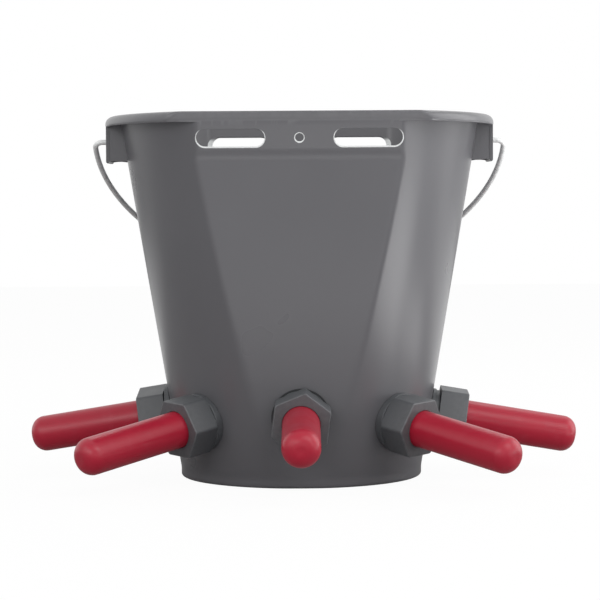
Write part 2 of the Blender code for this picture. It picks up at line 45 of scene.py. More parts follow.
# Bucket. Lengths are in millimetres, here and for the ears, the bail and the teat units
HEIGHT = 286.0
WALL_BASE_RADIUS = 94.8
WALL_TAPER = math.radians(9.54)
WALL = 3.0
FOOT_RADIUS = 96.0
PANEL_BASE_DEPTH = 95.3
PANEL_TAPER = math.radians(3.9)
BAND_BOTTOM = 252.0
BAND_STEP = 1.0
BAND_TAPER = math.radians(10.6)
LIP_OVERHANG = 11.4
LIP_BOTTOM = 278.0
LIP_EDGE_RADIUS = 6.0
LIP_SHEET = 3.0
LIP_RADIUS = WALL_BASE_RADIUS + HEIGHT * math.tan(WALL_TAPER) + LIP_OVERHANG
FLOOR_TOP = 9.0
FLOOR_FILLET = 8.0
FLOOR_RING_RADIUS = 50.0      # of the one ring of points on the flat of the floor
BASE_RECESS = 5.0
FOOT_ROUNDING = 2.4
BASE_EDGE = 0.6               # of the pad's and the foot ring's edges
PAD_RADIUS = 22.0
FOOT_INNER_RADIUS = 88.0
RIB = 2.5
RIB_COUNT = 8
CREASE_SOFTNESS = 1.7         # four times what the rounding takes off the panel's long edges
LIP_CORNER_SOFTNESS = 2.2
TOP_EDGE = 1.5
INNER_EDGE = 1.0              # rounding of the rim's inner edge
BAND_EASE = (BAND_BOTTOM - 4.0, BAND_BOTTOM + 7.0)  # heights between which the panel runs into the band
GROOVE_ROUNDING = 0.9
GROOVE_LEAN = 0.15            # of the wall inside the groove
LIP_LAND = 0.7                # flat between the groove and the lip's outer edge
LIP_BREAK = 0.35

# Slots and small hole, a little smaller than the solid's
SLOT_LENGTH = 51.3
SLOT_HEIGHT = 13.6
SLOT_SPACING = 103.3
SLOT_Z = 266.0
BACK_SLOT_SETBACK = 3.4       # how much sooner the back slots end at the outside
CENTRE_HOLE = 6.6
CUT_EDGE = 0.35
PALE_EDGE = 0.9               # how far out from an opening the pale edge fades away
PALE_EDGE_FULL = 0.6
PALE_EDGE_RAGGED = 0.3

# Ears and bail
EAR_WIDTH = 40.0
EAR_BOTTOM = 249.5
EAR_OUTER = LIP_RADIUS - 0.3
EAR_PLATE = 2.5
EAR_WEB = 2.5
EAR_WEB_SPACING = 36.0
EAR_BEAD = 1.35
EAR_OVERLAP = 2.0             # of the plate with the lip
EAR_WEB_LIFT = 1.2            # of the webs' lower edge above the plate's
EAR_WEB_FOOT = 3.5
EAR_WEB_BITE = 1.5            # of the webs into the wall
EAR_EDGE = 0.45
PIVOT_PLAY = 0.7
BAIL_WIRE = 4.2
PIVOT_Z = 266.5
BAIL_RADIUS = LIP_RADIUS + 6.9 + BAIL_WIRE / 2
BAIL_FLATTENING = 3.4         # how far the wire's bow runs inside a true arc on each side
BAIL_BEND_RADIUS = 6.0
BAIL_HOOK_LENGTH = 9.0
BAIL_HOOK_BEND = 3.0
BAIL_HOOK_X = EAR_OUTER - EAR_PLATE - 6.0
BAIL_REST = math.radians(43.3)

# Teat units, from the left round the front to the right
UNIT_AZIMUTHS = (-97, -47.9, 0, 45.8, 90.5)
FRONT_UNIT = 0                # azimuth of the one that stands on the panel
UNIT_HEIGHT = 49.0
FRONT_UNIT_HEIGHT = 54.5
FRONT_UNIT_DROOP = math.radians(2)
NUT_TURNS = (43.6, 57.0, 22.4, 3.1, 5.0)
NUT_GAPS = (1.0, 1.0, 2.6, 1.2, 3.4)
THREAD_RADIUS = 17.0
THREAD_PITCH = 3.0
THREAD_RIDGE = 0.75
THREAD_DEPTH = 0.7
STEM_FLANGE_RADIUS = 23.0
STEM_FLANGE = 3.0
STEM_BORE_RADIUS = 12.5
FINGER_RADIUS = 5.0           # of the opening between the stop fingers' tips
FINGER_WIDTH = 2.2
FINGER_THICKNESS = 2.0
BALL_CHAMBER_RADIUS = 9.4
OUTER_SEAL = 1.0
# black outer washer radii; past the centre nut's flats its black also stands for the shade in the gap behind
# the nut, as painted shade
OUTER_WASHER_AND_SHADE_RADII = (22.0, 20.6, 22.3, 20.6, 17.9)
OUTER_SEAL_BULGE = 0.25
INNER_SEAL_RADIUS = 22.5
INNER_SEAL_MIN = 0.9
LOCK_RING_BASE = 1.3
LOCK_RING_FACE = 2.7
LOCK_RING_RADII = (23.8, 22.4, 21.2, 22.4, 19.4)
LOCK_RING_LIFTS = (0.0, 0.88, 0.0, 1.08, 0.0)    # how far the outer edge is raised towards the nut
LOCK_RING_HUB = 18.5
SKIRT_GAP = 0.45              # between the ring's outer edge and the wall, outside the washer
NUT_ACROSS_FLATS = 42.4
NUT_BASE_RADII = (24.6, 22.6, 24.6, 22.6, 24.6)  # to which the corners are turned off at the base
NUT_LENGTH = 22.3
NUT_SHOULDER = 4.0
NUT_CHAMFER = 0.5
NUT_SOFTNESS = 1.2
NUT_BASE_SLOPE = 1.2          # radius gained for each millimetre above the base
BORE_RADIUS = 17.5
TEAT_RADIUS = 14.25
TEAT_REACH = 118.5
TEAT_WALL = 4.0
TEAT_TIP_WALL = 6.0
TEAT_NOSE_RADIUS = 11.0
TEAT_INNER_NOSE = 6.0
TEAT_FLANGE_RADIUS = 17.1
TEAT_HOLE_PLAY = 0.15
STEM_END = LOCK_RING_FACE + min(NUT_GAPS) + NUT_LENGTH - NUT_SHOULDER - 3.6
BALL_RADIUS = 9.0
BALL_TRAVEL = 5.0
SEAT_OUTER_RADIUS = 14.5
SEAT_HOLE_RADIUS = 6.0
SEAT_HEIGHT = 3.0
SEAT_CHAMFER = 1.0
FIT_GAP = 0.3

# Studio, in metres and watts
FLOOR_HALF = 4.0
FLOOR_GLOW = 1.08
FLOOR_GLOW_SHARE = 0.88       # of what the camera sees of the floor
WORLD_STRENGTH = 0.42         # of the light from all round; the background itself is white
MIDDLE = (0.0, 0.0, 0.15)
CARD_HEIGHT = 0.01
LAMPS = (                     # name, place, aim, width, height, power
    ("right window", (1.5, 0.35, 0.7), MIDDLE, 1.0, 1.4, 8.5),
    ("right front", (1.2, -0.95, 0.8), MIDDLE, 0.7, 1.3, 3.5),
    ("left window", (-1.5, 0.8, 0.6), MIDDLE, 0.9, 1.4, 1.2),
    ("left front", (-1.5, -1.0, 0.9), MIDDLE, 0.9, 1.0, 3.2),
    ("top front", (0.9, -1.3, 1.7), MIDDLE, 1.4, 0.9, 8.5),
    ("top back", (0.1, 0.9, 1.25), (0.0, 0.0, 0.1), 1.0, 0.4, 2.5),
    ("low front", (-0.9, -1.9, 0.9), MIDDLE, 1.4, 0.7, 7.2),
    ("front strip", (0.5, -1.9, 0.4), (0.1, 0.0, 0.1), 0.12, 0.5, 0.5),
)
CARDS = (                     # shine straight up from the floor: name, x, y, width, height, power
    ("low right card", 0.76, -0.27, 0.8, 0.3, 3.6),
    ("near right card", 0.5, 0.0, 0.22, 0.2, 0.4),
    ("back right card", 0.75, 1.05, 1.1, 1.5, 4.1),
    ("back left card", -0.6, 1.15, 0.8, 1.3, 2.2),
    ("low front card", 0.0, -0.75, 0.6, 0.3, 1.2),
)
CAMERA_PLACE = (0.0, -1.76, 0.218)
CAMERA_PITCH = math.atan(98 / 2200)
CAMERA_YAW = 0.4 / 2200
CAMERA_ROLL = 0.006
CAMERA_LENS = 132


# Shape of the bucket's wall

def smooth_min(a, b, softness):
    """The smaller of a and b, with the meeting rounded off."""
    share = np.clip(softness - np.abs(a - b), 0, None) / softness
    return np.minimum(a, b) - share * share * softness / 4


def ease(low, high, value):
    share = np.clip((value - low) / (high - low), 0, 1)
    return share * share * (3 - 2 * share)


def panel_depth(z):
    return PANEL_BASE_DEPTH + z * math.tan(PANEL_TAPER)


def flat_depth(z):
    """Distance from the axis to the front or back flat at height z, panel and hanging band."""
    band = panel_depth(BAND_BOTTOM) + BAND_STEP + (z - BAND_BOTTOM) * math.tan(BAND_TAPER)
    share = ease(*BAND_EASE, z)
    return panel_depth(z) * (1 - share) + band * share


def wall_radius(z):
    return WALL_BASE_RADIUS + z * math.tan(WALL_TAPER)


def outside(direction, z):
    """Outer radius of the wall in a direction (radians from -Y) at height z."""
    flat = flat_depth(z) / np.maximum(np.abs(np.cos(direction)), 1e-3)
    return smooth_min(np.maximum(wall_radius(z), FOOT_RADIUS), flat, CREASE_SOFTNESS)


def inside(direction, z):
    """Inner radius of the wall in a direction at height z."""
    flat = (flat_depth(z) - WALL) / np.maximum(np.abs(np.cos(direction)), 1e-3)
    return smooth_min(wall_radius(z) - WALL / math.cos(WALL_TAPER), flat, CREASE_SOFTNESS)


# Mesh helpers

def new_object(name, data, material=None):
    obj = bpy.data.objects.new(name, data)
    bpy.context.scene.collection.objects.link(obj)
    if material:
        data.materials.append(material)
    return obj


def smooth(mesh, sharp_angle=38):
    mesh.shade_smooth()
    mesh.set_sharp_from_angle(angle=math.radians(sharp_angle))


def grid_mesh(name, rings, closed=False, wear_and_highlight=None):
    """Mesh through rings of points in millimetres, each an array (count, 3). Coincident points are merged."""
    count = len(rings[0])
    points = np.concatenate(rings) * MM
    faces = []
    last = len(rings) if closed else len(rings) - 1
    for i in range(last):
        low = i * count
        high = ((i + 1) % len(rings)) * count
        for k in range(count):
            n = (k + 1) % count
            faces.append((low + k, low + n, high + n, high + k))
    mesh = bpy.data.meshes.new(name)
    mesh.from_pydata(points.tolist(), [], faces)
    if wear_and_highlight is not None:
        # edge lightening kept per point: rubbed wear and painted highlight on rounded edges
        layer = mesh.attributes.new("worn_and_highlit", "FLOAT", "POINT")
        layer.data.foreach_set("value", np.repeat(np.array(wear_and_highlight, np.float32), count))
    welded = bmesh.new()
    welded.from_mesh(mesh)
    bmesh.ops.remove_doubles(welded, verts=welded.verts, dist=2e-6)
    bmesh.ops.dissolve_degenerate(welded, edges=welded.edges, dist=1e-6)
    welded.to_mesh(mesh)
    welded.free()
    return mesh


def soften(profile, steps=3):
    """Rounds a closed section's corners. Each entry is (radius, height, rounding)."""
    result = []
    count = len(profile)
    for i in range(count):
        here = Vector(profile[i][:2])
        before = Vector(profile[i - 1][:2]) - here
        after = Vector(profile[(i + 1) % count][:2]) - here
        rounding = profile[i][2]
        if rounding <= 0 or before.length < 1e-6 or after.length < 1e-6:
            result.append((here.x, here.y, 0.0))
            continue
        reach = min(rounding, before.length * 0.49, after.length * 0.49)
        start = here + before.normalized() * reach
        end = here + after.normalized() * reach
        for k in range(steps + 1):
            t = k / steps
            point = start * (1 - t) ** 2 + here * 2 * t * (1 - t) + end * t * t
            # the third value lightens the rounded corner in the material: rubbed wear and painted highlight
            result.append((point.x, point.y, 1.0 if 0 < k < steps else 0.4))
    return result


def round_angles(count):
    return np.arange(count) * 2 * math.pi / count


def arc_points(centre, radius, start, end, steps):
    points = []
    for k in range(steps + 1):
        angle = math.radians(start + (end - start) * k / steps)
        points.append((centre[0] + radius * math.cos(angle), centre[1] + radius * math.sin(angle)))
    return points


def quarter_turn(steps):
    return [math.pi / 2 * k / steps for k in range(steps + 1)]


def turned_mesh(name, section, matrix, count=72, outline=None):
    """Section turned about Z of matrix. outline(angles, radius, height) bends each ring, if it is given."""
    angles = round_angles(count)
    rings = []
    wear_and_highlight = []
    for radius, height, worn_and_highlit in section:
        radii = np.full(count, radius)
        if outline:
            radii = outline(angles, radius, height)
        rings.append(np.stack((radii * np.cos(angles), radii * np.sin(angles), np.full(count, height)), 1))
        wear_and_highlight.append(worn_and_highlit)
    mesh = grid_mesh(name, rings, closed=True, wear_and_highlight=wear_and_highlight)
    mesh.transform(matrix)
    smooth(mesh)
    return mesh


def settle(obj, *helpers):
    """Makes the object a plain mesh with its modifiers' result, and removes what shaped it."""
    bpy.context.view_layer.update()
    depsgraph = bpy.context.evaluated_depsgraph_get()
    mesh = bpy.data.meshes.new_from_object(obj.evaluated_get(depsgraph))
    obj.modifiers.clear()
    obj.data = mesh
    for helper in helpers:
        bpy.data.objects.remove(helper, do_unlink=True)
    return obj


def even_shading(obj):
    obj.modifiers.new("even shading", "WEIGHTED_NORMAL").keep_sharp = True


def finish_piece(obj, body, node):
    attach(obj, body)
    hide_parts(node)


def unit_piece(unit, label, mesh, material, node, body=None):
    """Piece of a teat unit. It rides on the bucket, or on the unit's own body."""
    number = unit["number"]
    mesh.name = f"{label}_{number}"
    obj = new_object(mesh.name, mesh, material)
    finish_piece(obj, f"{body}_{number}" if body else "bucket", f"{node}_{number}")
    return obj


# Nodes

def fill(tree, node, **inputs):
    """Gives inputs numbers or other nodes' outputs. In their names an underscore stands for a space."""
    for label, value in inputs.items():
        give(tree, node.inputs[label.replace("_", " ")], value)
    return node


def give(tree, socket, value):
    if isinstance(value, bpy.types.NodeSocket):
        tree.links.new(value, socket)
    else:
        socket.default_value = value


def add_node(tree, kind, **inputs):
    return fill(tree, tree.nodes.new(kind), **inputs)


def group_tree(name, inputs, outputs):
    """Shader group of plain values: its tree, its inputs and its output node."""
    tree = bpy.data.node_groups.new(name, "ShaderNodeTree")
    for label, value in inputs.items():
        socket = tree.interface.new_socket(label, in_out="INPUT", socket_type="NodeSocketFloat")
        socket.default_value = value
    for label in outputs:
        tree.interface.new_socket(label, in_out="OUTPUT", socket_type="NodeSocketFloat")
    return tree, tree.nodes.new("NodeGroupInput").outputs, tree.nodes.new("NodeGroupOutput")


def math_node(tree, operation, *values):
    node = tree.nodes.new("ShaderNodeMath")
    node.operation = operation
    for socket, value in zip(node.inputs, values):
        give(tree, socket, value)
    return node.outputs[0]


def map_range(tree, value, low, high, to_low=0.0, to_high=1.0, kind="SMOOTHSTEP"):
    node = add_node(tree, "ShaderNodeMapRange", Value=value, From_Min=low, From_Max=high, To_Min=to_low,
                    To_Max=to_high)
    node.interpolation_type = kind
    return node.outputs["Result"]


def noise(tree, vector, scale, detail=2.0, roughness=0.5):
    node = add_node(tree, "ShaderNodeTexNoise", Vector=vector, Scale=scale, Detail=detail, Roughness=roughness)
    return node.outputs["Fac"]


def object_vector(tree, shift=(0, 0, 0)):
    """Object coordinates, moved by a shift in metres."""
    coordinates = tree.nodes.new("ShaderNodeTexCoord")
    return add_node(tree, "ShaderNodeMapping", Vector=coordinates.outputs["Object"],
                    Location=shift).outputs["Vector"]


def moulded_skin_group():
    """Slow tone drift, fine speckle and orange-peel height of a moulded surface."""
    tree, given, put = group_tree(
        "moulded skin", {"Drift Scale": 14.0, "Speckle Scale": 900.0, "Drift": 0.08, "Speckle": 0.05},
        ("Tone", "Gloss Drift", "Height"))
    vector = object_vector(tree)
    drift = noise(tree, vector, given["Drift Scale"], 3.0)
    speckle = noise(tree, vector, given["Speckle Scale"], 1.5, 0.6)
    peel = noise(tree, object_vector(tree, (0.3, 0.1, 0.2)), 420.0, 1.0)
    low = math_node(tree, "MULTIPLY", math_node(tree, "SUBTRACT", drift, 0.5), given["Drift"])
    high = math_node(tree, "MULTIPLY", math_node(tree, "SUBTRACT", speckle, 0.5), given["Speckle"])
    fill(tree, put, Tone=math_node(tree, "ADD", math_node(tree, "ADD", low, high), 1.0),
         Gloss_Drift=math_node(tree, "SUBTRACT", drift, 0.5),
         Height=math_node(tree, "ADD", peel, math_node(tree, "MULTIPLY", speckle, 0.35)))
    return tree


def edge_wear_and_highlight_group():
    """Lighter edges from the piece's own per-point attribute, broken up by noise: partly rubbed wear, partly a
    painted highlight where light catches rounded edges and chamfers.
    """
    tree, given, put = group_tree("rubbed and highlit edges", {"Amount": 0.6, "Break Scale": 260.0}, ("Mask",))
    worn_and_highlit = tree.nodes.new("ShaderNodeAttribute")
    worn_and_highlit.attribute_name = "worn_and_highlit"
    broken = map_range(tree, noise(tree, object_vector(tree), given["Break Scale"], 3.0), 0.25, 0.7)
    mask = math_node(tree, "MULTIPLY", worn_and_highlit.outputs["Fac"], math_node(tree, "MULTIPLY_ADD", broken, 0.6, 0.4))
    fill(tree, put, Mask=math_node(tree, "MULTIPLY", mask, given["Amount"]))
    return tree


def cut_edges_and_top_shade_group():
    """Pale cut edge round the hanging slots and the small hole; along the slots' tops the pale is left out as
    painted shade, where the upper edge faces down into shadow.
    """
    tree, given, put = group_tree("pale cut edges with painted top shade", {"Width": PALE_EDGE * MM}, ("Mask",))
    coordinates = tree.nodes.new("ShaderNodeTexCoord")
    place = add_node(tree, "ShaderNodeSeparateXYZ", Vector=coordinates.outputs["Object"]).outputs
    x = place["X"]
    rise = math_node(tree, "SUBTRACT", place["Z"], SLOT_Z * MM)
    from_centre = math_node(tree, "ABSOLUTE", x)
    from_middle = math_node(tree, "SUBTRACT", from_centre, SLOT_SPACING / 2 * MM)
    straight = (SLOT_LENGTH - SLOT_HEIGHT) / 2 * MM
    past_end = math_node(tree, "SUBTRACT", math_node(tree, "ABSOLUTE", from_middle), straight)
    past_end = math_node(tree, "MAXIMUM", past_end, 0.0)
    distances = []
    for across, radius in ((past_end, SLOT_HEIGHT / 2 * MM), (x, CENTRE_HOLE / 2 * MM)):
        square = math_node(tree, "ADD", math_node(tree, "MULTIPLY", across, across),
                           math_node(tree, "MULTIPLY", rise, rise))
        distances.append(math_node(tree, "SUBTRACT", math_node(tree, "SQRT", square), radius))
    nearest = math_node(tree, "MINIMUM", *distances)
    ragged = math_node(tree, "MULTIPLY", noise(tree, object_vector(tree), 700.0), PALE_EDGE_RAGGED * MM)
    pale = map_range(tree, math_node(tree, "ADD", nearest, ragged), given["Width"], PALE_EDGE_FULL * MM)
    in_slot = map_range(tree, from_centre, CENTRE_HOLE * MM, 2 * CENTRE_HOLE * MM)
    # the slots' tops get no pale edge: painted shade, as the upper edge faces down into shadow
    shaded_slot_top = math_node(tree, "MULTIPLY", map_range(tree, rise, 3.5 * MM, 6.5 * MM), in_slot)
    unshaded_share = math_node(tree, "MULTIPLY_ADD", shaded_slot_top, -0.97, 1.0)
    fill(tree, put, Mask=math_node(tree, "MULTIPLY", pale, unshaded_share))
    return tree


def place_group(tree, group, **values):
    node = tree.nodes.new("ShaderNodeGroup")
    node.node_tree = group
    return fill(tree, node, **values).outputs


def colour_mix(tree, kind, factor, first, second):
    mix = tree.nodes.new("ShaderNodeMix")
    mix.data_type = "RGBA"
    mix.blend_type = kind
    return fill(tree, mix, Factor=factor, A=first, B=second).outputs["Result"]


def tinted(tree, colour, tone):
    """Colour multiplied by a changing tone."""
    grey = add_node(tree, "ShaderNodeCombineColor", Red=tone, Green=tone, Blue=tone)
    return colour_mix(tree, "MULTIPLY", 1.0, (*colour, 1), grey.outputs[0])


def mixed(tree, factor, base, colour):
    """Base colour turned towards a fixed colour by a mask."""
    return colour_mix(tree, "MIX", factor, base, (*colour, 1))


def new_material(name):
    material = bpy.data.materials.new(name)
    material.use_nodes = True
    tree = material.node_tree
    return material, tree, tree.nodes["Principled BSDF"]


def skinned(name, skin, scales, amounts, gloss, bump):
    """Material with a moulded skin, and the tone for its colour.

    scales and amounts are the drift's and the speckle's, gloss is the roughness's swing and middle, bump is its
    strength and its distance in metres.
    """
    material, tree, shader = new_material(name)
    surface = place_group(tree, skin, Drift_Scale=scales[0], Speckle_Scale=scales[1], Drift=amounts[0],
                          Speckle=amounts[1])
    relief = add_node(tree, "ShaderNodeBump", Strength=bump[0], Distance=bump[1], Height=surface["Height"])
    fill(tree, shader, Roughness=math_node(tree, "MULTIPLY_ADD", surface["Gloss Drift"], *gloss),
         Normal=relief.outputs["Normal"])
    return material, tree, shader, surface["Tone"]


def bucket_plastic(skin, wear_and_highlight, cut_edges_and_top_shade):
    material, tree, shader, tone = skinned("moulded grey bucket plastic", skin, (9.0, 1100.0), (0.12, 0.05),
                                           (0.12, 0.29), (0.25, 0.00005))
    colour = tinted(tree, (0.128, 0.127, 0.137), tone)
    # lighter rim and foot edges: rubbed wear and painted highlight
    rubbed_and_highlit = place_group(tree, wear_and_highlight, Amount=0.2, Break_Scale=180.0)
    colour = mixed(tree, rubbed_and_highlit["Mask"], colour, (0.40, 0.40, 0.41))
    # the pale is the whitish cut edge; leaving it out along the slots' tops is painted shade
    pale = place_group(tree, cut_edges_and_top_shade)
    fill(tree, shader, Base_Color=mixed(tree, pale["Mask"], colour, (0.80, 0.82, 0.82)))
    return material


def fitting_plastic(skin, wear_and_highlight):
    material, tree, shader, tone = skinned("dark grey fitting plastic", skin, (60.0, 1500.0), (0.16, 0.10),
                                           (0.2, 0.44), (0.35, 0.00005))
    colour = tinted(tree, (0.082, 0.087, 0.094), tone)
    # lighter chamfers and roundings: rubbed wear and painted highlight
    rubbed_and_highlit = place_group(tree, wear_and_highlight, Amount=0.35, Break_Scale=320.0)
    fill(tree, shader, Base_Color=mixed(tree, rubbed_and_highlit["Mask"], colour, (0.26, 0.26, 0.27)))
    return material


def teat_rubber(skin):
    material, tree, shader, tone = skinned("red teat rubber", skin, (45.0, 1300.0), (0.14, 0.06), (0.25, 0.34),
                                           (0.3, 0.00006))
    colour = tinted(tree, (0.45, 0.008, 0.032), tone)
    bloom = noise(tree, object_vector(tree, (0.4, 0.2, 0.1)), 70.0, 4.0)
    colour = mixed(tree, map_range(tree, bloom, 0.5, 0.8, 0.0, 0.05), colour, (0.62, 0.20, 0.26))
    fill(tree, shader, Base_Color=colour, Specular_IOR_Level=0.48)
    return material


def seal_rubber(skin):
    material, tree, shader, tone = skinned("black seal rubber", skin, (90.0, 1600.0), (0.3, 0.2), (0.2, 0.68),
                                           (0.4, 0.00006))
    fill(tree, shader, Base_Color=tinted(tree, (0.020, 0.021, 0.023), tone))
    return material


def ball_plastic(skin):
    material, tree, shader, tone = skinned("white valve ball plastic", skin, (120.0, 2000.0), (0.08, 0.04),
                                           (0.2, 0.28), (0.2, 0.00003))
    fill(tree, shader, Base_Color=tinted(tree, (0.74, 0.74, 0.70), tone))
    return material


def zinc_wire(skin):
    material, tree, shader, tone = skinned("galvanised wire", skin, (150.0, 2400.0), (0.25, 0.18), (0.3, 0.6),
                                           (0.3, 0.00005))
    spangle = add_node(tree, "ShaderNodeTexVoronoi", Scale=420.0, Vector=object_vector(tree))
    grey = add_node(tree, "ShaderNodeSeparateColor", Color=spangle.outputs["Color"])
    fleck = math_node(tree, "MULTIPLY_ADD", grey.outputs[0], 0.16, 0.92)
    tone = math_node(tree, "MULTIPLY", tone, fleck)
    fill(tree, shader, Base_Color=tinted(tree, (0.78, 0.79, 0.79), tone), Metallic=0.55)
    return material


# Geometry trees

def geometry_tree(name, inputs):
    """Geometry tree with these inputs and a material: its tree, its inputs and its output node."""
    tree = bpy.data.node_groups.new(name, "GeometryNodeTree")
    tree.interface.new_socket("Geometry", in_out="INPUT", socket_type="NodeSocketGeometry")
    for label, value in inputs.items():
        kind = "NodeSocketInt" if isinstance(value, int) else "NodeSocketFloat"
        tree.interface.new_socket(label, in_out="INPUT", socket_type=kind).default_value = value
    tree.interface.new_socket("Material", in_out="INPUT", socket_type="NodeSocketMaterial")
    tree.interface.new_socket("Geometry", in_out="OUTPUT", socket_type="NodeSocketGeometry")
    return tree, tree.nodes.new("NodeGroupInput").outputs, tree.nodes.new("NodeGroupOutput")


def end_tree(tree, given, put, geometry):
    """Ends a tree with real geometry that has the given material."""
    real = add_node(tree, "GeometryNodeRealizeInstances", Geometry=geometry)
    painted = add_node(tree, "GeometryNodeSetMaterial", Geometry=real.outputs[0], Material=given["Material"])
    fill(tree, put, Geometry=painted.outputs[0])
    return tree


def grown(name, mesh, tree, values):
    """Plain mesh object grown from a mesh by a tree with these input values."""
    obj = new_object(name, mesh)
    modifier = obj.modifiers.new(tree.name, "NODES")
    modifier.node_group = tree
    for item in tree.interface.items_tree:
        if item.in_out == "INPUT" and item.name in values:
            modifier[item.identifier] = values[item.name]
    return settle(obj)


def swept(tree, line, section):
    sweep = add_node(tree, "GeometryNodeCurveToMesh", Curve=line.outputs["Curve"],
                     Profile_Curve=section.outputs["Curve"], Fill_Caps=True)
    return sweep.outputs["Mesh"]


def wire_tree():
    """Round wire swept along the mesh's edges."""
    tree, given, put = geometry_tree("drawn wire", {"Wire Radius": 0.0021, "Facets": 20})
    line = add_node(tree, "GeometryNodeMeshToCurve", Mesh=given["Geometry"])
    circle = add_node(tree, "GeometryNodeCurvePrimitiveCircle", Radius=given["Wire Radius"],
                      Resolution=given["Facets"])
    return end_tree(tree, given, put, swept(tree, line, circle))


def thread_tree():
    """Helical thread ridge about Z."""
    tree, given, put = geometry_tree("thread ridge", {
        "Turns": 5.0, "Radius": 0.0168, "Length": 0.015, "Ridge": 0.0009})
    spiral = add_node(tree, "GeometryNodeCurveSpiral", Resolution=48, Rotations=given["Turns"],
                      Start_Radius=given["Radius"], End_Radius=given["Radius"], Height=given["Length"])
    circle = add_node(tree, "GeometryNodeCurvePrimitiveCircle", Resolution=6, Radius=given["Ridge"])
    return end_tree(tree, given, put, swept(tree, spiral, circle))


def spoke_tree():
    """The mesh repeated evenly round Z."""
    tree, given, put = geometry_tree("ring of ribs", {"Count": 8})
    points = add_node(tree, "GeometryNodePoints", Count=given["Count"])
    index = tree.nodes.new("GeometryNodeInputIndex")
    step = math_node(tree, "DIVIDE", 2 * math.pi, given["Count"])
    rotation = add_node(tree, "ShaderNodeCombineXYZ", Z=math_node(tree, "MULTIPLY", step, index.outputs[0]))
    spread = add_node(tree, "GeometryNodeInstanceOnPoints", Points=points.outputs[0],
                      Instance=given["Geometry"], Rotation=rotation.outputs[0])
    return end_tree(tree, given, put, spread.outputs["Instances"])


# The bucket

def shell_directions():
    """Directions round the bucket, closest where the flats run into the round wall."""
    quarter = np.radians(np.concatenate((
        np.linspace(0, 3, 2), np.arange(4, 44, 0.45), np.linspace(45, 90, 24))))
    return np.concatenate((
        quarter, math.pi - quarter[::-1][1:], math.pi + quarter[1:], 2 * math.pi - quarter[::-1][1:-1]))


